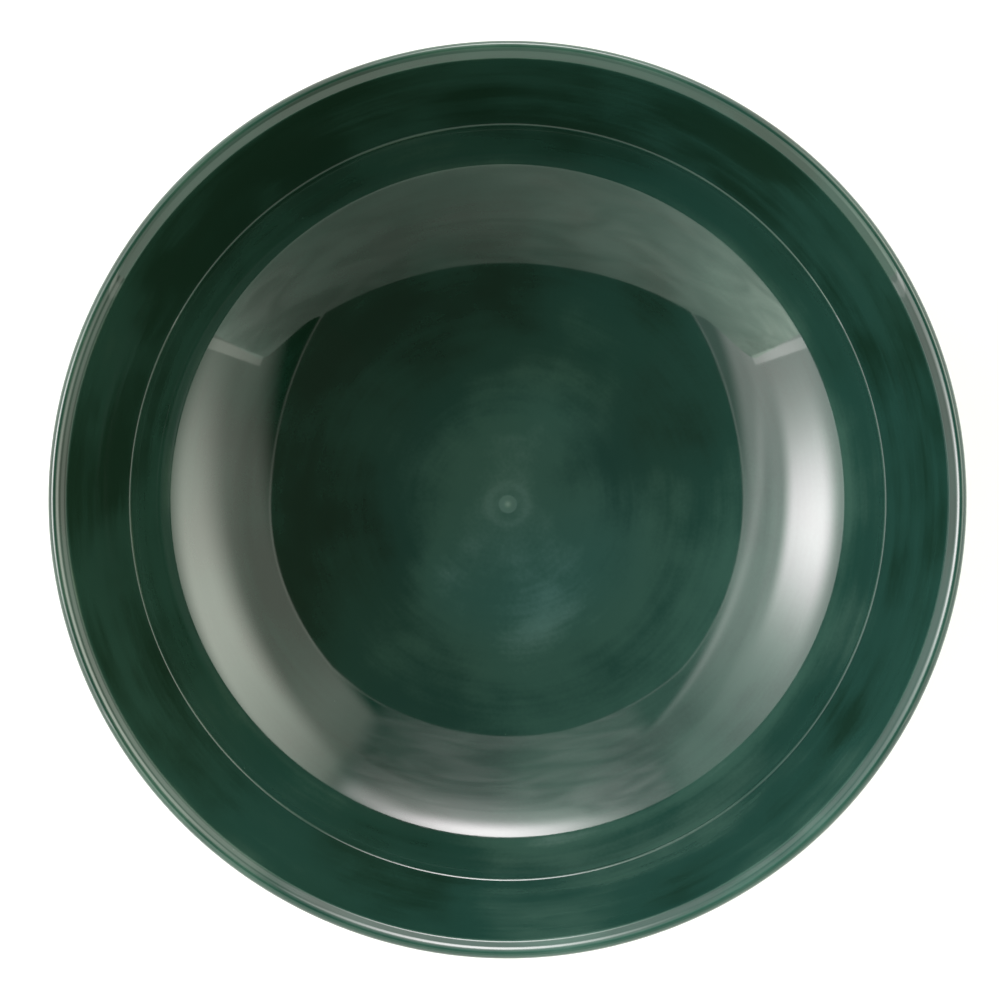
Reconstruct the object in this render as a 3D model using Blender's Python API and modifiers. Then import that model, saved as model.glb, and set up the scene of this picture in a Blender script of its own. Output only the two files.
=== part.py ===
"""Mixing bowl: a turned and fired clay body under a coat of green glaze.

Metres, +Z up. The origin is the centre of the foot ring's underside, which the bowl stands on, and every piece is
turned about the Z axis.

The glazed surface is walked as one outline in the XZ plane: from the centre of the inside, up the wall, over the
lip, down the outside, round the foot ring and back to the axis underneath. Each spot on it holds a radius, a height
and the heading of the walk there, in degrees: 0 is outward, 90 is up, -90 is down and -180 is inward. The material
is always on the right of the walk, so a spot is inset by moving it to its right.
"""

import math
from collections import namedtuple

import bpy

NAME = "mixing_bowl"
TURNING_STEPS = 64
SAME_POINT = 0.00002

# The glazed bowl
RIM_RADIUS = 0.1400
FOOT_WELL_CLEARANCE = 0.0045
FLOOR_THICKNESS = 0.0065
WALL_THICKNESS = 0.0054

# The glaze, and the gap that stands for its bond to the clay
GLAZE_THICKNESS = 0.00045
BOND_GAP = 0.0003
COAT_DEPTH = GLAZE_THICKNESS + BOND_GAP

# Button that the turning tool leaves at the centre of the floor
BUTTON_RADIUS = 0.0028
BUTTON_FLANK_SLOPE = -18

# Inside of the bowl: radius, heading and number of chords of each arc, from the button to the ridge
INSIDE_ARCS = (
    (0.0370, 3.5, 1),
    (0.0750, 18.5, 3),
    (0.0860, 24.2, 1),
    (0.1077, 40.5, 3),
    (0.1186, 59.0, 2),
)

# Fine raised ridge round the inside of the wall
RIDGE_WIDTH = 0.0016
RIDGE_HEIGHT = 0.0003
RIDGE_HEADING = 61

# Wall above the ridge, and the lip: a bevel inside, a crest and a rounded outer edge
WALL_TOP_RADIUS = 0.1343
WALL_TOP_HEADING = 78
LIP_ARCS = (
    (0.1348, 44, 2),
    (0.1366, 40, 1),
    (0.1374, 26, 1),
    (0.1381, 0, 1),
    (RIM_RADIUS, -90, 3),
)

# Foot ring
FOOT_RADIUS = 0.0620
FOOT_WIDTH = 0.0055
FOOT_EDGE = 0.0008
FOOT_OUTER_FILLET = 0.0040
UNDERSIDE_HEADING = -166
FOOT_INNER_FILLET = 0.0025
FOOT_WELL_EDGE_HEADING = -176
GLAZE_LINE_HEIGHT = 0.0030

CLAY_COLOUR = (0.72, 0.68, 0.60, 1)
GLAZE_COLOUR = (0.016, 0.070, 0.048, 1)

Spot = namedtuple("Spot", "radius height heading")


def arc(start, radius, heading, chords):
    """The arc that leaves a spot along its heading, and has the given heading where it reaches the given radius."""
    first = math.radians(start.heading)
    last = math.radians(heading)
    bend = (radius - start.radius) / (math.sin(last) - math.sin(first))
    spots = []
    for step in range(1, chords + 1):
        angle = first + (last - first) * step / chords
        spots.append(
            Spot(
                start.radius + bend * (math.sin(angle) - math.sin(first)),
                start.height + bend * (math.cos(first) - math.cos(angle)),
                math.degrees(angle),
            )
        )
    return spots


def to_right(spot, distance):
    heading = math.radians(spot.heading)
    return Spot(
        spot.radius + distance * math.sin(heading),
        spot.height - distance * math.cos(heading),
        spot.heading,
    )


def along(spot, distance):
    heading = math.radians(spot.heading)
    return Spot(
        spot.radius + distance * math.cos(heading),
        spot.height + distance * math.sin(heading),
        spot.heading,
    )


def turned_back(spot):
    return spot._replace(heading=spot.heading - 180)


def button():
    """The convex top of the button, and the hollow flank that runs out onto the floor."""
    floor_height = FOOT_WELL_CLEARANCE + FLOOR_THICKNESS
    top = Spot(0, floor_height, 0)
    spots = [top, *arc(top, BUTTON_RADIUS / 2, BUTTON_FLANK_SLOPE, 1)]
    return spots + arc(spots[-1], BUTTON_RADIUS, 0, 1)


def ridge(start):
    foot = start._replace(heading=RIDGE_HEADING)
    crest = to_right(along(foot, RIDGE_WIDTH / 2), -RIDGE_HEIGHT)
    return [foot, crest, along(foot, RIDGE_WIDTH)]


def inside():
    """From the centre of the floor to the top of the wall, just under the lip's bevel."""
    spots = button()
    for stretch in INSIDE_ARCS:
        spots += arc(spots[-1], *stretch)
    spots[-1:] = ridge(spots[-1])
    return spots + arc(spots[-1], WALL_TOP_RADIUS, WALL_TOP_HEADING, 3)


def lip(wall_top):
    spots = [wall_top]
    for stretch in LIP_ARCS:
        spots += arc(spots[-1], *stretch)
    return spots[1:]


def outside(inner):
    """The inside's own curve, one wall's thickness further out, from under the lip to the top of the foot ring."""
    spots = []
    for spot in inner:
        thickening = (FLOOR_THICKNESS - WALL_THICKNESS) * (1 - spot.radius / RIM_RADIUS)
        outer = turned_back(to_right(spot, WALL_THICKNESS + thickening))
        is_ridge = spot.heading == RIDGE_HEADING
        if outer.radius > FOOT_RADIUS + FOOT_OUTER_FILLET and not is_ridge:
            spots.append(outer)
    return spots[::-1]


def foot_outer_face(above):
    """Inward under the bowl, the fillet, and the ring's outer face down to the height where the glaze stops."""
    spots = arc(above, FOOT_RADIUS + FOOT_OUTER_FILLET, UNDERSIDE_HEADING, 1)
    spots += arc(spots[-1], FOOT_RADIUS, -90, 3)
    return spots + [spots[-1]._replace(height=GLAZE_LINE_HEIGHT)]


def foot_sole():
    """The ring's bare clay underside, with a rounded edge on each side of its flat."""
    outer_radius = FOOT_RADIUS - COAT_DEPTH
    inner_radius = FOOT_RADIUS - FOOT_WIDTH + COAT_DEPTH
    spots = [Spot(outer_radius, FOOT_EDGE, -90)]
    spots += arc(spots[-1], outer_radius - FOOT_EDGE, -180, 2)
    spots.append(spots[-1]._replace(radius=inner_radius + FOOT_EDGE))
    return spots + arc(spots[-1], inner_radius, -270, 2)


def foot_well():
    """From the height where the glaze starts, inside the ring, to the centre of the underside."""
    inner_radius = FOOT_RADIUS - FOOT_WIDTH
    edge_radius = inner_radius - FOOT_INNER_FILLET
    start = Spot(inner_radius, GLAZE_LINE_HEIGHT, -270)
    shape = [start, *arc(start, edge_radius, FOOT_WELL_EDGE_HEADING, 2)]
    shape += arc(shape[-1], 0, -180, 2)
    lift = FOOT_WELL_CLEARANCE - shape[-1].height
    raised = [spot._replace(height=spot.height + lift) for spot in shape[1:]]
    return [start, *raised]


def inset(spots, distance):
    """The same outline, deeper in the material; a spot on the axis stays on it."""
    moved = [to_right(spot, distance) for spot in spots]
    return [
        new._replace(radius=0) if old.radius < SAME_POINT else new
        for old, new in zip(spots, moved)
    ]


def skin(spots):
    """A glaze coat's outline, from the axis back to it: its surface, and the side that faces the clay."""
    clay_side = inset(spots, GLAZE_THICKNESS)[::-1]
    starts_on_axis = spots[0].radius < SAME_POINT
    return spots + clay_side if starts_on_axis else clay_side + spots


def principled(name, colour, roughness, coat):
    material = bpy.data.materials.new(name)
    material.diffuse_color = colour
    material.use_nodes = True
    shader = material.node_tree.nodes["Principled BSDF"]
    shader.inputs["Base Color"].default_value = colour
    shader.inputs["Metallic"].default_value = 0
    shader.inputs["Roughness"].default_value = roughness
    shader.inputs["Coat Weight"].default_value = coat
    return material


def turned(name, spots, material, collection, parent):
    """A solid of revolution from an outline that starts and ends on the axis."""
    mesh = bpy.data.meshes.new(name)
    points = [(spot.radius, 0, spot.height) for spot in spots]
    edges = [(index, index + 1) for index in range(len(points) - 1)]
    mesh.from_pydata(points, edges, [])
    mesh.materials.append(material)
    piece = bpy.data.objects.new(name, mesh)
    piece.parent = parent
    collection.objects.link(piece)
    screw = piece.modifiers.new("Turn", "SCREW")
    screw.axis = "Z"
    screw.angle = math.tau
    screw.steps = TURNING_STEPS
    screw.render_steps = TURNING_STEPS
    screw.use_smooth_shade = True
    screw.use_merge_vertices = True
    screw.merge_threshold = SAME_POINT
    return piece


def clear_scene():
    for old in list(bpy.data.objects):
        bpy.data.objects.remove(old, do_unlink=True)


def build():
    clear_scene()
    collection = bpy.data.collections.new(NAME)
    bpy.context.scene.collection.children.link(collection)
    axis = bpy.data.objects.new(NAME + "_axis", None)
    collection.objects.link(axis)

    inner = inside()
    rim = lip(inner[-1])
    outer = outside(inner)
    coated = inner + rim + outer + foot_outer_face(outer[-1])
    well = foot_well()

    clay = principled("fired_clay", CLAY_COLOUR, 0.75, 0)
    glaze = principled("green_glaze", GLAZE_COLOUR, 0.15, 1)
    body = inset(coated, COAT_DEPTH) + foot_sole() + inset(well, COAT_DEPTH)
    turned("clay_body", body, clay, collection, axis)
    turned("glaze_coat", skin(coated), glaze, collection, axis)
    turned("foot_well_glaze", skin(well), glaze, collection, axis)


build()
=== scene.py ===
"""The looks of a glazed mixing bowl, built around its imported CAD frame.

Finely turned pieces replace the CAD's faceted ones: the clay body, the coat of glaze and the glaze in the
foot well. Each is an outline in the XZ plane, turned about Z. An outline is walked with the material on its
right, and the heading is the direction of the walk: 0 is outward, 90 up, -90 down and -180 inward. Lengths
are in metres.
"""

import math

import bpy
import numpy as np
from mathutils import Matrix, Vector


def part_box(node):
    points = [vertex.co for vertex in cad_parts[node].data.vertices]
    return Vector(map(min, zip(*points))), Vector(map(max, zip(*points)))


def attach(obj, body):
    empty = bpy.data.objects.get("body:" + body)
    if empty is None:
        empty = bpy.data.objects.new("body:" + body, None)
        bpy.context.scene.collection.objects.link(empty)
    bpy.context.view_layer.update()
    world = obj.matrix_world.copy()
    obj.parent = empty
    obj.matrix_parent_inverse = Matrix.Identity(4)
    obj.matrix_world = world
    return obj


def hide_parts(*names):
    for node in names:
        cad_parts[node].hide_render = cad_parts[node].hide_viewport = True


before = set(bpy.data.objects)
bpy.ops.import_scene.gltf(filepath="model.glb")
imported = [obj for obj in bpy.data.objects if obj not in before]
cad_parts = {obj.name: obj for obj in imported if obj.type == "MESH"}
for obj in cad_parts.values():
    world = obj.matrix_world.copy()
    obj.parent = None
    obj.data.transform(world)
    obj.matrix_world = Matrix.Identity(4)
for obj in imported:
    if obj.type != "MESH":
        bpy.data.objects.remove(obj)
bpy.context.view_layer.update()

# The glazed surface. Its outer size comes from the frame, and the rest follows the CAD's design, with a
# finer ridge and lip.
COAT_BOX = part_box("glaze_coat")
RIM_RADIUS = COAT_BOX[1].x
RIM_HEIGHT = COAT_BOX[1].z
GLAZE_LINE_HEIGHT = COAT_BOX[0].z
WELL_GLAZE_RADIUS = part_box("foot_well_glaze")[1].x

WELL_CLEARANCE = 0.0045
GLAZE_THICKNESS = 0.00045
HIDDEN_GAP = 0.00003
WALL_THICKNESS = 0.0054
FLOOR_THICKNESS = 0.0065

# Inside: the heading at a few radii, with an arc from each to the next
INSIDE_HEADINGS = ((0.0370, 3.5), (0.0750, 18.5), (0.0860, 24.2), (0.1077, 40.5), (0.1186, 59))
RIDGE_HEADING = 61
RIDGE_WIDTH = 0.0020
RIDGE_HEIGHT = 0.00025
WALL_TOP_HEADING = (0.1344, 78)
LIP_HEADINGS = (
    (0.13475, 42),
    (0.1350, 41.5),
    (0.1353, 48.5),
    (0.1358, 47.6),
    (0.1363, 46.5),
    (0.1366, 41.5),
    (0.1370, 38.5),
    (0.1374, 32),
    (0.1377, 20),
    (0.13825, -16),
    (0.1388, -34),
    (0.1394, -55),
    (RIM_RADIUS, -90),
)

# Outside: the foot ring
FOOT_RADIUS = 0.0620
FOOT_EDGE = 0.0008
FOOT_OUTER_FILLET = 0.0040
FOOT_INNER_FILLET = 0.0025
WELL_EDGE_HEADING = -176

# Marks of the turning tool on the inside: a button at the centre, and low rings. Each ring has a distance
# from the axis along the surface, a half-width and a height.
BUTTON_RADIUS = 0.0029
BUTTON_HEIGHT = 0.00040
TOOL_RINGS = (
    (0.0050, 0.0016, -0.00003),
    (0.0072, 0.0014, 0.00003),
    (0.0146, 0.0030, 0.00004),
    (0.0670, 0.0030, 0.00003),
)

# Slow waves left by the drying and firing: turns round the bowl, wavelength along the wall, height and phase
WAVES = (
    (2, 0.140, 0.000050, 0.4),
    (3, 0.075, 0.000022, 2.1),
    (5, 0.052, 0.000012, 4.0),
    (8, 0.034, 0.000005, 1.2),
)
CALM_AT_CENTRE = 0.03
CALM_ABOVE_FOOT = 0.008

# How finely the outlines are walked, and how far each bend runs into the next
FINE_STEP = 0.0001
FIVE_STEP_MEAN = np.ones(5) / 5
SOFTENING = 0.0030

# How finely the pieces are meshed
TURNING_STEPS = 320
LONGEST_CHORD = 0.0018
SHORTEST_CHORD = 0.00012
TURN_PER_CHORD = math.radians(5)

# Glaze is thinnest where the surface bends this sharply away from its material, in metres of bend radius
THIN_GLAZE_BEND = 0.0015

# Glaze from its thickest to its thinnest, a painted highlight on the button's tip, the two tints that drift
# across it, and the tints of its wall and its floor
GLAZE_DEEP = (0.0042, 0.0180, 0.0105, 1)
GLAZE_MIDDLE = (0.0085, 0.0360, 0.0262, 1)
GLAZE_PALE = (0.0260, 0.0680, 0.0500, 1)
GLAZE_THIN = (0.0700, 0.1250, 0.1000, 1)
BUTTON_TIP_PAINTED_HIGHLIGHT = (0.135, 0.210, 0.170, 1)
GLAZE_TEAL = (0.88, 1.00, 1.03, 1)
GLAZE_OLIVE = (1.18, 1.00, 0.90, 1)
GLAZE_GREYER = (1.20, 0.93, 0.96, 1)
GLAZE_BLUER = (0.88, 1.02, 1.12, 1)

# The largest clouds that the photo shows in the glaze: x, y, size, and how much thinner it is there
GLAZE_CLOUDS = (
    (0.003, -0.019, 0.014, -0.16),
    (0.030, -0.029, 0.030, -0.15),
    (-0.005, 0.030, 0.030, 0.13),
    (-0.015, -0.055, 0.016, 0.12),
    (-0.052, 0.000, 0.024, -0.09),
    (0.093, 0.080, 0.026, 0.24),
    (0.117, 0.026, 0.022, -0.24),
    (0.108, -0.075, 0.023, -0.20),
    (0.070, -0.100, 0.016, 0.14),
    (0.010, -0.111, 0.021, 0.26),
    (-0.078, -0.092, 0.026, -0.20),
)

# Rings painted paler: radius, width, and how much paler. The inner one is painted light on the low turned
# rings round the button, and the outer one is a painted reflection of the opposite rim.
PALE_RINGS_OF_PAINTED_LIGHT = ((0.0064, 0.0016, 0.06), (0.1086, 0.0016, 0.13))
GLAZE_IOR = 1.52

CLAY_LIGHT = (0.74, 0.70, 0.62, 1)
CLAY_DARK = (0.64, 0.59, 0.50, 1)
CLAY_GRAIN = (0.22, 0.17, 0.12, 1)

FLOOR_LIGHT = (0.75, 0.75, 0.74, 1)
FLOOR_DARK = (0.71, 0.71, 0.70, 1)
FLOOR_GLOW = 0.42
FLOOR_SIZE = 8

# Light tent. Heights and places along a wall are counted in the wall's distance.
OPENING_HEIGHT = 1.42
OPENING_LEVEL = 0.10
SURROUND_LEVEL = 2.1
NORTH_EAST_LEVEL = 3.0
WEST_LAMP_LEVEL = 14.2
EAST_LAMP_LEVEL = 5.5
NORTH_LAMP_LEVEL = 15.5
LAMP_LIGHT = (1.05, 1.00, 1.01, 1)
NEUTRAL_LIGHT = (0.99, 1.00, 0.96, 1)
WARM_LIGHT = (0.97, 1.00, 0.88, 1)
GREENISH_LIGHT = (0.86, 1.00, 0.86, 1)

CAMERA_DISTANCE = 1.2
CAMERA_TILT = (math.radians(0.25), math.radians(-1.3))
CAMERA_AIM = (-0.0022, -0.00055)
CAMERA_LENS = 142.0
CAMERA_SENSOR = 36


def spot(radius, height, heading):
    return np.array([[radius, height, math.radians(heading)]])


def arc(start, radius, heading):
    """Fine spots along the arc that leaves a spot and has this heading where it reaches this radius."""
    start_radius, start_height, first = start
    last = math.radians(heading)
    bend = (radius - start_radius) / (math.sin(last) - math.sin(first))
    chords = max(math.ceil(bend * (last - first) / FINE_STEP), 3)
    angles = np.linspace(first, last, chords + 1)[1:]
    radii = start_radius + bend * (np.sin(angles) - math.sin(first))
    heights = start_height + bend * (math.cos(first) - np.cos(angles))
    return np.stack([radii, heights, angles], axis=1)


def straight(start, length):
    reach = np.linspace(0, length, math.ceil(length / FINE_STEP) + 1)[1:]
    radii = start[0] + reach * math.cos(start[2])
    heights = start[1] + reach * math.sin(start[2])
    return np.stack([radii, heights, np.full(len(reach), start[2])], axis=1)


def arcs(start, headings):
    spots = start
    for radius, heading in headings:
        spots = np.concatenate([spots, arc(spots[-1], radius, heading)])
    return spots


def distances(spots):
    """How far along the walk each spot is."""
    steps = np.hypot(np.diff(spots[:, 0]), np.diff(spots[:, 1]))
    return np.concatenate([[0], np.cumsum(steps)])


def moved_right(spots, amount):
    """Every spot moved into the material by an amount, or out of it by a negative one."""
    radii = spots[:, 0] + amount * np.sin(spots[:, 2])
    heights = spots[:, 1] - amount * np.cos(spots[:, 2])
    return np.stack([radii, heights, spots[:, 2]], axis=1)


def softened(spots):
    """The same curve with its heading averaged over a short way, so that each bend runs into the next."""
    reach = int(3 * SOFTENING / FINE_STEP)
    weights = np.exp(-0.5 * (np.arange(-reach, reach + 1) * FINE_STEP / SOFTENING) ** 2)
    headings = spots[:, 2]
    before = 2 * headings[0] - headings[reach:0:-1]
    after = 2 * headings[-1] - headings[-2 : -reach - 2 : -1]
    padded = np.concatenate([before, headings, after])
    soft = np.convolve(padded, weights / weights.sum(), mode="valid")
    steps = np.diff(distances(spots))
    middle = (soft[1:] + soft[:-1]) / 2
    radii = spots[0, 0] + np.concatenate([[0], np.cumsum(steps * np.cos(middle))])
    heights = spots[0, 1] + np.concatenate([[0], np.cumsum(steps * np.sin(middle))])
    return np.stack([radii * spots[-1, 0] / radii[-1], heights, soft], axis=1)


def bump(distance, centre, half_width):
    """1 at the centre, falling smoothly to 0 at the half-width."""
    share = np.clip(np.abs(distance - centre) / half_width, 0, 1)
    return 0.5 + 0.5 * np.cos(math.pi * share)


def inside():
    """From the axis to the top of the wall: the plain curve, and how far each spot of it stands proud."""
    below = arcs(spot(0, 0, 0), INSIDE_HEADINGS)
    above = straight(spot(below[-1, 0], below[-1, 1], RIDGE_HEADING)[0], RIDGE_WIDTH)
    ridge_distance = distances(below)[-1] + RIDGE_WIDTH / 2
    curve = np.concatenate([below, above])
    curve = softened(np.concatenate([curve, arc(curve[-1], *WALL_TOP_HEADING)]))
    along = distances(curve)
    relief = BUTTON_HEIGHT * bump(along, 0, BUTTON_RADIUS)
    relief += RIDGE_HEIGHT * bump(along, ridge_distance, RIDGE_WIDTH / 2)
    for centre, half_width, height in TOOL_RINGS:
        relief += height * bump(along, centre, half_width)
    return curve, relief


def outside(inner):
    """The inside's own curve, one wall's thickness further out, and down the foot ring to the glaze line."""
    thickening = (FLOOR_THICKNESS - WALL_THICKNESS) * (1 - inner[:, 0] / RIM_RADIUS)
    outer = moved_right(inner, WALL_THICKNESS + thickening)[::-1]
    outer[:, 2] -= math.pi
    underside = outer[outer[:, 0] > FOOT_RADIUS + FOOT_OUTER_FILLET]
    spots = arcs(underside, ((FOOT_RADIUS, -90),))
    ring = straight(spots[-1], spots[-1, 1] - GLAZE_LINE_HEIGHT - GLAZE_THICKNESS)
    return np.concatenate([spots, ring])


def coated_surface(marked):
    """The glaze coat's surface, from the centre of the inside to its edge on the foot, marked or plain."""
    curve, relief = inside()
    lip = arcs(curve[-1:], LIP_HEADINGS)
    curve[:, 1] += RIM_HEIGHT - lip[:, 1].max()
    lip[:, 1] += RIM_HEIGHT - lip[:, 1].max()
    inner = moved_right(curve, -relief) if marked else curve
    return np.concatenate([inner, lip[1:], outside(curve)])


def coat_edge():
    """The coat's rounded lower edge, which closes it against the clay."""
    top = spot(FOOT_RADIUS, GLAZE_LINE_HEIGHT + GLAZE_THICKNESS, -90)
    return arcs(top, ((FOOT_RADIUS - GLAZE_THICKNESS, -180),))[1:]


def well_edge():
    """The foot well glaze's rounded edge. Its last spot is left out, because the surface starts there."""
    start = spot(WELL_GLAZE_RADIUS, GLAZE_LINE_HEIGHT, -180)
    return arcs(start, ((WELL_GLAZE_RADIUS - GLAZE_THICKNESS, -270),))[:-1]


def well_surface():
    """The foot well's glaze, from the ring to the centre of the underside."""
    wall_radius = WELL_GLAZE_RADIUS - GLAZE_THICKNESS
    corner = spot(wall_radius, 0, -270)
    roof = arcs(corner, ((wall_radius - FOOT_INNER_FILLET, WELL_EDGE_HEADING), (0, -180)))
    roof[:, 1] += WELL_CLEARANCE - roof[-1, 1]
    foot = spot(wall_radius, GLAZE_LINE_HEIGHT + GLAZE_THICKNESS, -270)
    side = straight(foot[0], roof[0, 1] - foot[0, 1])
    return np.concatenate([foot, side[:-1], roof])


def foot_sole():
    """The bare clay under the foot ring, with a rounded edge on each side of its flat."""
    coat = GLAZE_THICKNESS + HIDDEN_GAP
    outer = FOOT_RADIUS - coat
    inner = WELL_GLAZE_RADIUS - GLAZE_THICKNESS + coat
    outer_edge = arcs(spot(outer, FOOT_EDGE, -90), ((outer - FOOT_EDGE, -180),))
    flat = straight(outer_edge[-1], outer - inner - 2 * FOOT_EDGE)
    return arcs(np.concatenate([outer_edge, flat]), ((inner, -270),))


def chosen(spots, longest, shortest, turn):
    """The spots that the mesh keeps: close together where the walk bends, and far apart elsewhere."""
    along = distances(spots)
    steps = np.maximum(np.diff(along), 1e-9)
    directions = np.unwrap(np.arctan2(np.diff(spots[:, 1]), np.diff(spots[:, 0])))
    bends = np.abs(np.diff(directions, prepend=directions[0])) / steps
    bends = np.convolve(bends, FIVE_STEP_MEAN, mode="same")
    chords = np.clip(turn / np.maximum(bends, 1e-6), shortest, longest)
    due = np.floor(np.concatenate([[0], np.cumsum(steps / chords)]))
    keep = np.concatenate([[True], np.diff(due) > 0])
    keep[-1] = True
    return spots[keep]


def fine(spots):
    return chosen(spots, LONGEST_CHORD, SHORTEST_CHORD, TURN_PER_CHORD)


def hidden(spots):
    """Few spots, for a surface that another piece covers."""
    return chosen(spots, 5 * LONGEST_CHORD, 5 * SHORTEST_CHORD, 3 * TURN_PER_CHORD)


def convexity(spots):
    """How sharply the outline bends away from its material, per metre, over about half a millimetre."""
    along = distances(spots)
    rise = np.gradient(spots[:, 1], along)
    run = np.gradient(spots[:, 0], along)
    directions = np.unwrap(np.arctan2(rise, run))
    even = np.arange(0, along[-1], FINE_STEP)
    smooth = np.convolve(np.interp(even, along, directions), FIVE_STEP_MEAN, mode="same")
    return np.interp(along, even, -np.gradient(smooth, FINE_STEP))


def waved(radius, height, angle):
    """Radius and height moved by the slow waves: the floor up and down, and the wall in and out."""
    share = radius / RIM_RADIUS
    amount = sum(
        size * np.cos(turns * angle + math.tau * (radius + height) / length + phase)
        for turns, length, size, phase in WAVES
    )
    clear_of_foot = np.clip((height - GLAZE_LINE_HEIGHT) / CALM_ABOVE_FOOT, 0, 1)
    amount = amount * clear_of_foot * np.clip(radius / CALM_AT_CENTRE, 0, 1) ** 2
    return radius + amount * share, height + amount * (1 - share**2)


def turned(name, spots, material, node):
    """A closed piece from an outline that starts and ends on the axis. It replaces a CAD node."""
    angles = np.arange(TURNING_STEPS) * math.tau / TURNING_STEPS
    rings = spots[1:-1]
    radius, height = waved(rings[:, :1], rings[:, 1:2], angles[None, :])
    corners = np.stack([radius * np.cos(angles), radius * np.sin(angles), height + 0 * angles], axis=2)
    first, last = (0, 0, spots[0, 1]), (0, 0, spots[-1, 1])
    points = np.concatenate([[first], corners.reshape(-1, 3), [last]])

    here = np.arange(TURNING_STEPS)
    beside = (here + 1) % TURNING_STEPS
    starts = 1 + TURNING_STEPS * np.arange(len(rings) - 1)[:, None]
    near, far = starts + here, starts + beside
    quads = np.stack([near, near + TURNING_STEPS, far + TURNING_STEPS, far], axis=2)
    end = len(points) - 1
    top = [(0, int(1 + a), int(1 + b)) for a, b in zip(here, beside)]
    base = end - TURNING_STEPS
    tail = [(int(base + a), end, int(base + b)) for a, b in zip(here, beside)]
    mesh = bpy.data.meshes.new(name)
    mesh.from_pydata(points.tolist(), [], top + quads.reshape(-1, 4).tolist() + tail)
    mesh.shade_smooth()
    mesh.materials.append(material)

    thin = np.clip(convexity(spots) * THIN_GLAZE_BEND, 0, 1)
    values = np.concatenate([thin[:1], np.repeat(thin[1:-1], TURNING_STEPS), thin[-1:]])
    attribute = mesh.attributes.new("thin_glaze", "FLOAT", "POINT")
    attribute.data.foreach_set("value", values.astype(np.float32))

    piece = bpy.data.objects.new(name, mesh)
    bpy.context.scene.collection.objects.link(piece)
    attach(piece, "root")
    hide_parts(node)


# ------------------------------------------------------------------------------------------
# Materials and light, as node graphs
# ------------------------------------------------------------------------------------------


class Graph:
    """Adds nodes to a node tree. A value is a number, a colour, or another node's output."""

    def __init__(self, tree):
        self.tree = tree

    def plug(self, socket, value):
        if isinstance(value, bpy.types.NodeSocket):
            self.tree.links.new(value, socket)
        else:
            socket.default_value = value

    def node(self, kind, inputs=(), **settings):
        made = self.tree.nodes.new(kind)
        for name, value in settings.items():
            setattr(made, name, value)
        for name, value in dict(inputs).items():
            self.plug(made.inputs[name], value)
        return made

    def math(self, operation, *values):
        made = self.node("ShaderNodeMath", operation=operation)
        for socket, value in zip(made.inputs, values):
            self.plug(socket, value)
        return made.outputs[0]

    def plus(self, *values):
        total = values[0]
        for value in values[1:]:
            total = self.math("ADD", total, value)
        return total

    def times(self, *values):
        product = values[0]
        for value in values[1:]:
            product = self.math("MULTIPLY", product, value)
        return product

    def ramp(self, value, low, high, start=0.0, end=1.0):
        """From start to end, smoothly, as the value goes from low to high."""
        inputs = {"Value": value, "From Min": low, "From Max": high, "To Min": start, "To Max": end}
        made = self.node("ShaderNodeMapRange", inputs, interpolation_type="SMOOTHSTEP")
        return made.outputs["Result"]

    def vector(self, x, y, z):
        return self.node("ShaderNodeCombineXYZ", {"X": x, "Y": y, "Z": z}).outputs[0]

    def noise(self, vector, scale, detail=2.0, roughness=0.5, distortion=0.0):
        inputs = {"Vector": vector, "Scale": scale, "Detail": detail}
        inputs.update({"Roughness": roughness, "Distortion": distortion})
        return self.node("ShaderNodeTexNoise", inputs).outputs["Fac"]

    def bell(self, value, centre, width):
        """1 at the centre, and 0.37 a width away from it."""
        offset = self.math("DIVIDE", self.math("SUBTRACT", value, centre), width)
        return self.math("EXPONENT", self.times(offset, offset, -1.0))

    def mixed(self, share, first, second):
        """A number between two others."""
        return self.node("ShaderNodeMix", {"Factor": share, "A": first, "B": second}).outputs["Result"]

    def mix(self, share, first, second, blend="MIX"):
        """A colour between two others, or blended from them in another way."""
        made = self.node("ShaderNodeMix", data_type="RGBA", blend_type=blend)
        for index, value in ((0, share), (6, first), (7, second)):
            self.plug(made.inputs[index], value)
        return made.outputs[2]


def new_material(name):
    material = bpy.data.materials.new(name)
    material.use_nodes = True
    graph = Graph(material.node_tree)
    return material, graph, material.node_tree.nodes["Principled BSDF"]


def scattered(graph, point, cells_per_metre, edge, core, least_chance):
    """1 in small round spots, one each in a few cells of a foam, and 0 between them."""
    cells = graph.node("ShaderNodeTexVoronoi", {"Vector": point, "Scale": cells_per_metre})
    chance = graph.node("ShaderNodeSeparateColor", {"Color": cells.outputs["Color"]}).outputs[0]
    in_spot = graph.ramp(cells.outputs["Distance"], edge, core)
    return graph.times(in_spot, graph.math("GREATER_THAN", chance, least_chance))


def add_relief(graph, shader, height, strength, depth):
    bump_node = graph.node("ShaderNodeBump", {"Height": height, "Strength": strength, "Distance": depth})
    graph.plug(shader.inputs["Normal"], bump_node.outputs["Normal"])


class Place:
    """Where a point of the bowl is: its distance from the axis, and how far east and north it bears."""

    def __init__(self, graph):
        self.point = graph.node("ShaderNodeTexCoord").outputs["Object"]
        self.x, self.y, self.z = graph.node("ShaderNodeSeparateXYZ", {"Vector": self.point}).outputs
        squares = graph.plus(graph.times(self.x, self.x), graph.times(self.y, self.y))
        self.radius = graph.math("SQRT", squares)
        safe_radius = graph.math("MAXIMUM", self.radius, 0.001)
        self.east = graph.math("DIVIDE", self.x, safe_radius)
        self.north = graph.math("DIVIDE", self.y, safe_radius)


def varying(graph, point, scale, detail, roughness):
    """Noise about 0."""
    return graph.math("SUBTRACT", graph.noise(point, scale, detail, roughness), 0.5)


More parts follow.
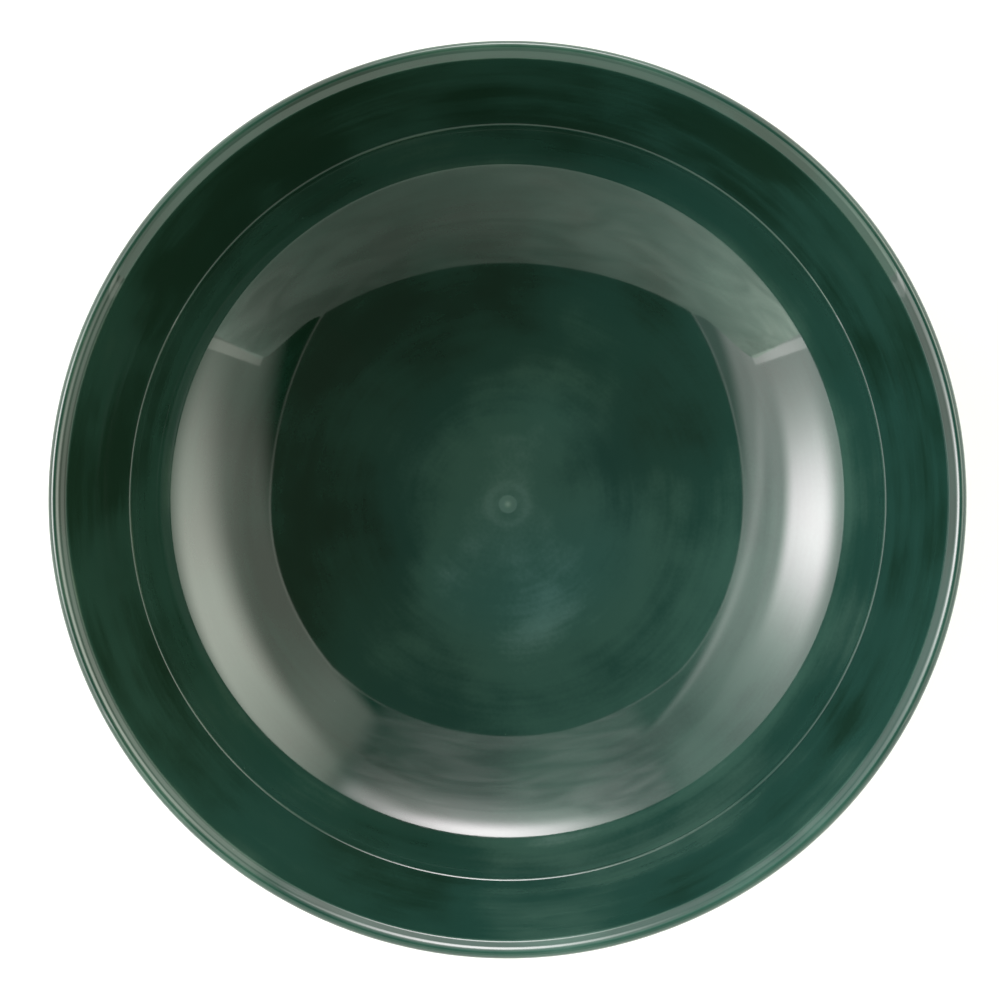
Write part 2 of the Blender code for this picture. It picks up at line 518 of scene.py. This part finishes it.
def brush_marks(graph, place):
    """Wisps and fine lines, drawn out round the bowl. They fade away at its centre."""

    def drawn_out(per_metre, turns, detail, roughness):
        outward = graph.times(graph.plus(place.radius, place.z), per_metre)
        bearing = (graph.times(place.east, turns), graph.times(place.north, turns))
        return varying(graph, graph.vector(outward, *bearing), 1.0, detail, roughness)

    wisps = drawn_out(60.0, 1.6, 4.0, 0.55)
    wisps = graph.times(wisps, graph.ramp(place.radius, 0.10, 0.125, 0.40, 0.62))
    lines = graph.times(drawn_out(420.0, 1.2, 2.0, 0.5), 0.15)
    return graph.times(graph.plus(wisps, lines), graph.ramp(place.radius, 0.004, 0.035))


def painted_light_by_side(graph, place):
    """Painted light and shade: paler in the south and east, where more light falls, and darker in the north
    and west.
    """
    amount = graph.ramp(place.radius, 0.0, 0.055, 0.0, 0.26)
    amount = graph.times(amount, graph.ramp(place.radius, 0.07, 0.11, 1.0, 0.4))
    to_east = graph.times(place.east, graph.ramp(place.radius, 0.08, 0.12, 0.34, 0.6))
    return graph.times(graph.plus(to_east, graph.times(place.north, -0.92)), amount)


def glaze_thinness_and_painted_light(graph, place):
    """0 where the glaze is darkest and 1 where it is palest: how thin the glaze is, with painted light and
    shade added.
    """
    edges = graph.node("ShaderNodeAttribute", attribute_name="thin_glaze").outputs["Fac"]
    large_clouds = [
        graph.times(graph.bell(place.x, x, size), graph.bell(place.y, y, size), amount)
        for x, y, size, amount in GLAZE_CLOUDS
    ]
    towards_centre = graph.ramp(place.radius, 0.0, 0.070, 0.87, 0.26)
    above_ridge = graph.ramp(place.radius, 0.1180, 0.1200, 0.0, -0.09)
    under_lip = graph.ramp(place.radius, 0.1270, 0.1340, 0.0, 0.06)
    on_button = graph.ramp(place.radius, 0.0033, 0.0022, 0.0, 0.3)
    # Painted light on the turned rings round the button, and a painted reflection of the opposite rim
    painted_light_rings = [
        graph.times(graph.bell(place.radius, radius, width), amount)
        for radius, width, amount in PALE_RINGS_OF_PAINTED_LIGHT
    ]
    return graph.plus(
        *large_clouds,
        towards_centre,
        above_ridge,
        under_lip,
        # Painted light and shade: paler in the south and east, darker in the north and west
        painted_light_by_side(graph, place),
        graph.times(varying(graph, place.point, 17.0, 3.0, 0.5), 1.3),
        brush_marks(graph, place),
        graph.times(varying(graph, place.point, 800.0, 2.0, 0.5), 0.10),
        graph.times(edges, 0.25),
        on_button,
        *painted_light_rings,
    )


def glaze_colour(graph, place):
    thinness_with_painted_light = glaze_thinness_and_painted_light(graph, place)
    colour = graph.mix(graph.ramp(thinness_with_painted_light, 0.0, 0.33), GLAZE_DEEP, GLAZE_MIDDLE)
    colour = graph.mix(graph.ramp(thinness_with_painted_light, 0.33, 0.68), colour, GLAZE_PALE)
    colour = graph.mix(graph.ramp(thinness_with_painted_light, 0.68, 1.0), colour, GLAZE_THIN)

    across = graph.plus(graph.times(place.x, 3.0), graph.times(place.y, -2.0))
    drift = graph.plus(across, graph.noise(place.point, 9.0, 2.0))
    tint = graph.mix(graph.ramp(drift, 0.2, 0.8), GLAZE_OLIVE, GLAZE_TEAL)
    on_wall = graph.times(graph.ramp(place.radius, 0.100, 0.118), graph.ramp(place.radius, 0.136, 0.134))
    on_floor = graph.ramp(place.radius, 0.054, 0.030)
    colour = graph.mix(1.0, colour, tint, "MULTIPLY")
    colour = graph.mix(on_wall, colour, GLAZE_GREYER, "MULTIPLY")
    colour = graph.mix(on_floor, colour, GLAZE_BLUER, "MULTIPLY")

    specks = scattered(graph, place.point, 110.0, 0.035, 0.012, 0.8)
    colour = graph.mix(graph.times(specks, 0.5), colour, GLAZE_THIN)
    # A painted highlight on the button's tip
    return graph.mix(graph.bell(place.radius, 0.0, 0.0009), colour, BUTTON_TIP_PAINTED_HIGHLIGHT)


def glaze_material():
    """Glossy bottle-green glaze: cloudy, drawn out in rings by the brush, paler where it is thin, with
    painted light and shade.
    """
    material, graph, shader = new_material("green_glaze")
    place = Place(graph)
    roughness = graph.ramp(graph.noise(place.point, 60.0, 3.0), 0.3, 0.7, 0.020, 0.050)
    graph.plug(shader.inputs["Base Color"], glaze_colour(graph, place))
    graph.plug(shader.inputs["Roughness"], roughness)
    shader.inputs["IOR"].default_value = GLAZE_IOR
    add_relief(graph, shader, graph.noise(place.point, 240.0, 2.0), 1.0, 0.0000016)
    return material


def clay_material():
    """Bare fired clay on the foot ring: matt, off-white, with fine grit and a few darker grains."""
    material, graph, shader = new_material("fired_clay")
    point = graph.node("ShaderNodeTexCoord").outputs["Object"]
    tone = graph.ramp(graph.noise(point, 120.0, 5.0, 0.6), 0.3, 0.7)
    grit = graph.noise(point, 2600.0, 2.0, 0.6)
    grains = scattered(graph, point, 900.0, 0.25, 0.12, 0.86)
    colour = graph.mix(tone, CLAY_DARK, CLAY_LIGHT)
    colour = graph.mix(graph.times(grains, 0.5), colour, CLAY_GRAIN)
    graph.plug(shader.inputs["Base Color"], colour)
    graph.plug(shader.inputs["Roughness"], graph.ramp(grit, 0.2, 0.8, 0.62, 0.82))
    add_relief(graph, shader, grit, 0.6, 0.00005)
    return material


def floor_material():
    material, graph, shader = new_material("pale_floor")
    point = graph.node("ShaderNodeTexCoord").outputs["Object"]
    colour = graph.mix(graph.noise(point, 3.0, 3.0), FLOOR_DARK, FLOOR_LIGHT)
    graph.plug(shader.inputs["Base Color"], colour)
    graph.plug(shader.inputs["Emission Color"], colour)
    shader.inputs["Emission Strength"].default_value = FLOOR_GLOW
    shader.inputs["Roughness"].default_value = 0.7
    return material


class Tent(Graph):
    """The light tent round the bowl, as the world's light. West is -X and north is +Y.

    A direction's height on a side wall is z/|x| and its place along it y/|x|. On an end wall they are z/|y|
    and x/|y|.
    """

    def __init__(self, tree):
        super().__init__(tree)
        direction = self.node("ShaderNodeTexCoord").outputs["Generated"]
        self.x, self.y, self.z = self.node("ShaderNodeSeparateXYZ", {"Vector": direction}).outputs
        self.side = self.math("MAXIMUM", self.math("ABSOLUTE", self.x), 0.0001)
        self.end = self.math("MAXIMUM", self.math("ABSOLUTE", self.y), 0.0001)
        self.side_height = self.math("DIVIDE", self.z, self.side)
        self.side_along = self.math("DIVIDE", self.y, self.side)
        self.end_height = self.math("DIVIDE", self.z, self.end)
        self.end_along = self.math("DIVIDE", self.x, self.end)
        self.off_end_middle = self.math("ABSOLUTE", self.end_along)
        self.westward = self.math("LESS_THAN", self.x, 0.0)
        self.eastward = self.math("GREATER_THAN", self.x, 0.0)
        self.northward = self.math("GREATER_THAN", self.y, 0.0)
        self.southward = self.math("LESS_THAN", self.y, 0.0)

    def slanted(self, rise):
        """The height on a side wall above a line that rises to the north."""
        return self.plus(self.side_height, self.times(self.side_along, -rise))

    def folds(self, along, height, dark, bright):
        """A brightness that wanders over a hanging sheet."""
        wander = self.noise(self.vector(along, height, 0.0), 1.0, 3.5, 0.5, 1.2)
        return self.ramp(wander, 0.3, 0.7, dark, bright)


def wall_shares(tent):
    """1 on the west, east, north or south wall and 0 off it.

    The south sheet overlaps the side walls along a slant, and the north wall's corners are rounded.
    """
    sheet_edge = tent.ramp(tent.side_height, 0.85, 1.5, -0.55, -0.96)
    south = tent.math("LESS_THAN", tent.side_along, sheet_edge)
    north = tent.times(tent.northward, tent.ramp(tent.off_end_middle, 0.66, 0.52))
    sides = tent.math("SUBTRACT", tent.math("SUBTRACT", 1.0, south), north)
    return tent.times(sides, tent.westward), tent.times(sides, tent.eastward), north, south


def west_wall(tent):
    """A lamp with a crisp top edge, and a pale drape that fades to the north, with a fold above the lamp."""
    height, along = tent.side_height, tent.side_along
    lamp_edges = tent.times(tent.ramp(height, 0.26, 0.47), tent.ramp(tent.slanted(0.1), 0.91, 0.74))
    dimming = tent.ramp(height, 0.5, 0.85, 1.0, 0.78)
    lamp = tent.times(WEST_LAMP_LEVEL, tent.bell(along, 0.10, 0.31), dimming, lamp_edges)
    drape = tent.times(tent.ramp(along, 0.3, 1.3, 3.9, 1.4), tent.ramp(height, 0.95, 1.1, 1.0, 0.8))
    fold = tent.times(1.4, tent.bell(tent.slanted(0.4), 1.2, 0.07), tent.ramp(along, -0.5, -0.2))
    shade = tent.ramp(tent.slanted(0.25), 1.28, 1.50, 1.0, 0.25)
    return lamp, tent.times(tent.plus(drape, fold), shade)


def east_wall(tent):
    """A weaker lamp further north, with a soft top edge, and a drape that darkens upwards."""
    height, along = tent.side_height, tent.side_along
    lamp_edges = tent.times(tent.ramp(height, 0.2, 0.4), tent.ramp(tent.slanted(0.25), 0.86, 0.46))
    lamp = tent.times(EAST_LAMP_LEVEL, tent.bell(along, 0.4, 0.65), lamp_edges)
    drape = tent.ramp(along, -0.45, -0.05, 1.5, 2.2)
    drape = tent.plus(drape, tent.times(0.7, tent.bell(along, 1.15, 0.3)))
    shade = tent.ramp(tent.slanted(0.55), 1.2, 1.6, 1.0, 0.0)
    return lamp, tent.times(drape, tent.ramp(height, 0.75, 1.1, 1.0, 0.68), shade)


def north_wall(tent):
    """A low lamp with its glow and a pale patch beside it, and a wrinkled sheet."""
    height, along = tent.end_height, tent.end_along
    lamp_edges = tent.bell(tent.math("MAXIMUM", height, 0.285), 0.285, 0.08)
    lamp_edges = tent.times(lamp_edges, tent.ramp(height, 0.10, 0.17))
    lamp = tent.times(NORTH_LAMP_LEVEL, tent.bell(along, 0.065, 0.29), lamp_edges)
    glow = tent.times(2.4, tent.bell(along, 0.12, 0.38), tent.bell(height, 0.42, 0.16))
    patch = tent.times(2.0, tent.bell(along, 0.48, 0.14), tent.bell(height, 0.36, 0.08))
    sheet = tent.times(tent.ramp(height, 0.5, 1.0, 1.7, 1.1), tent.ramp(along, 0.2, 0.55, 1.0, 0.6))
    wrinkles = tent.folds(tent.times(along, 2.5), tent.times(height, 5.0), 0.68, 1.32)
    return tent.plus(lamp, glow, patch), tent.times(sheet, wrinkles)


def south_wall(tent):
    """A sheet that is darkest just east of its middle."""
    height, along = tent.end_height, tent.end_along
    off_darkest = tent.math("SUBTRACT", along, 0.5)
    sheet = tent.math("MINIMUM", tent.plus(0.9, tent.times(0.9, off_darkest, off_darkest)), 5.0)
    shade = tent.ramp(height, 0.7, 1.5, 1.0, 0.65)
    wrinkles = tent.folds(tent.times(along, 2.0), tent.times(height, 3.0), 0.85, 1.15)
    return tent.times(sheet, shade, wrinkles)


def gap_strips(tent):
    """A crisp strip of light through the gap between the south sheet and each side wall."""
    height = tent.side_height
    off_gap = tent.math("ABSOLUTE", tent.plus(tent.side_along, 0.50, tent.times(height, 0.05)))
    length = tent.times(tent.bell(height, 0.58, 0.45), tent.ramp(height, 0.93, 0.90))
    level = tent.plus(tent.times(tent.westward, 3.6), tent.times(tent.eastward, 1.8))
    return tent.times(tent.ramp(off_gap, 0.026, 0.020), length, level)


def over_surroundings(tent, walls, south):
    """The walls end in a dark skirt, and under it the pale surroundings show along the horizon.

    The surroundings are brightest in the north-east, and show highest under the south sheet.
    """
    skirted = tent.times(walls, tent.ramp(tent.z, 0.16, 0.26, 0.5, 1.0))
    surround = tent.ramp(tent.plus(tent.x, tent.y), 0.9, 1.35, SURROUND_LEVEL, NORTH_EAST_LEVEL)
    above_surround = tent.ramp(tent.plus(tent.z, tent.times(south, -0.12)), 0.08, 0.14)
    return tent.mixed(above_surround, surround, skirted)


def north_seams(tent):
    """A factor that darkens a seam at each of the north wall's corners."""
    seam = tent.times(tent.bell(tent.off_end_middle, 0.59, 0.05), tent.ramp(tent.end_height, 0.9, 0.6))
    return tent.math("MULTIPLY_ADD", tent.times(tent.northward, seam), -0.26, 1.0)


def with_opening(tent, light, side_walls):
    """The light, with the opening overhead, nearly square in the south and nearly round in the north.

    A bright hem runs along it on the side walls.
    """
    level_reach = tent.math("SQRT", tent.plus(tent.times(tent.x, tent.x), tent.times(tent.y, tent.y)))
    squareness = tent.math("MULTIPLY_ADD", tent.southward, 0.65, 0.2)
    reach = tent.mixed(squareness, level_reach, tent.math("MAXIMUM", tent.side, tent.end))
    height = tent.math("DIVIDE", tent.z, reach)
    hem = tent.times(tent.bell(height, OPENING_HEIGHT - 0.02, 0.015), side_walls, 0.8)
    opening = tent.ramp(height, OPENING_HEIGHT - 0.01, OPENING_HEIGHT + 0.01)
    return tent.mixed(opening, tent.plus(light, hem), OPENING_LEVEL)


def studio_light():
    """A tent of soft panels with a dark opening overhead. Lamps glow through three of its walls."""
    world = bpy.data.worlds.new("studio")
    bpy.context.scene.world = world
    world.use_nodes = True
    tent = Tent(world.node_tree)
    times, plus = tent.times, tent.plus

    west, east, north, south = wall_shares(tent)
    west_lamp, west_drape = west_wall(tent)
    east_lamp, east_drape = east_wall(tent)
    north_lamp, north_sheet = north_wall(tent)
    drapes = plus(times(west, west_drape), times(east, east_drape))
    walls = plus(drapes, times(north, north_sheet), times(south, south_wall(tent)))
    lamps = plus(times(west, west_lamp), times(east, east_lamp), times(north, north_lamp), gap_strips(tent))
    light = times(plus(over_surroundings(tent, walls, south), lamps), north_seams(tent))

    tint = tent.mix(east, NEUTRAL_LIGHT, WARM_LIGHT)
    tint = tent.mix(south, tint, GREENISH_LIGHT)
    by_lamp = times(tent.ramp(lamps, 1.0, 10.0), plus(west, north))
    tint = tent.mix(by_lamp, tint, LAMP_LIGHT)
    background = world.node_tree.nodes["Background"]
    tent.plug(background.inputs["Color"], tint)
    tent.plug(background.inputs["Strength"], with_opening(tent, light, plus(west, east)))


def studio_floor():
    bpy.ops.mesh.primitive_plane_add(size=FLOOR_SIZE)
    floor = bpy.context.object
    floor.name = "studio_floor"
    floor.data.materials.append(floor_material())


def camera():
    """Looks almost straight down from well above the rim, with +Y upwards in the picture."""
    made = bpy.data.objects.new("camera", bpy.data.cameras.new("camera"))
    bpy.context.scene.collection.objects.link(made)
    target = Vector((*CAMERA_AIM, RIM_HEIGHT))
    back = Vector((math.tan(CAMERA_TILT[0]), math.tan(CAMERA_TILT[1]), 1)).normalized()
    right = Vector((0, 1, 0)).cross(back).normalized()
    made.matrix_world = Matrix((right, back.cross(right), back)).transposed().to_4x4()
    made.location = target + back * CAMERA_DISTANCE
    made.data.sensor_width = CAMERA_SENSOR
    made.data.lens = CAMERA_LENS
    bpy.context.scene.camera = made


def build():
    glaze = glaze_material()
    clay = clay_material()
    plain = coated_surface(marked=False)
    clay_side = hidden(moved_right(plain, GLAZE_THICKNESS)[::-1])
    coat = [fine(coated_surface(marked=True)), coat_edge()[::2], clay_side]
    turned("glaze_surface", np.concatenate(coat), glaze, "glaze_coat")

    well = well_surface()
    well_outline = [hidden(moved_right(well, GLAZE_THICKNESS)[::-1]), well_edge()[::2], fine(well)]
    turned("foot_well_surface", np.concatenate(well_outline), glaze, "foot_well_glaze")

    depth = GLAZE_THICKNESS + HIDDEN_GAP
    body = [hidden(moved_right(plain, depth)), fine(foot_sole()), hidden(moved_right(well, depth))]
    turned("clay_turning", np.concatenate(body), clay, "clay_body")


bpy.context.scene.view_settings.view_transform = "Standard"
build()
studio_light()
studio_floor()
camera()
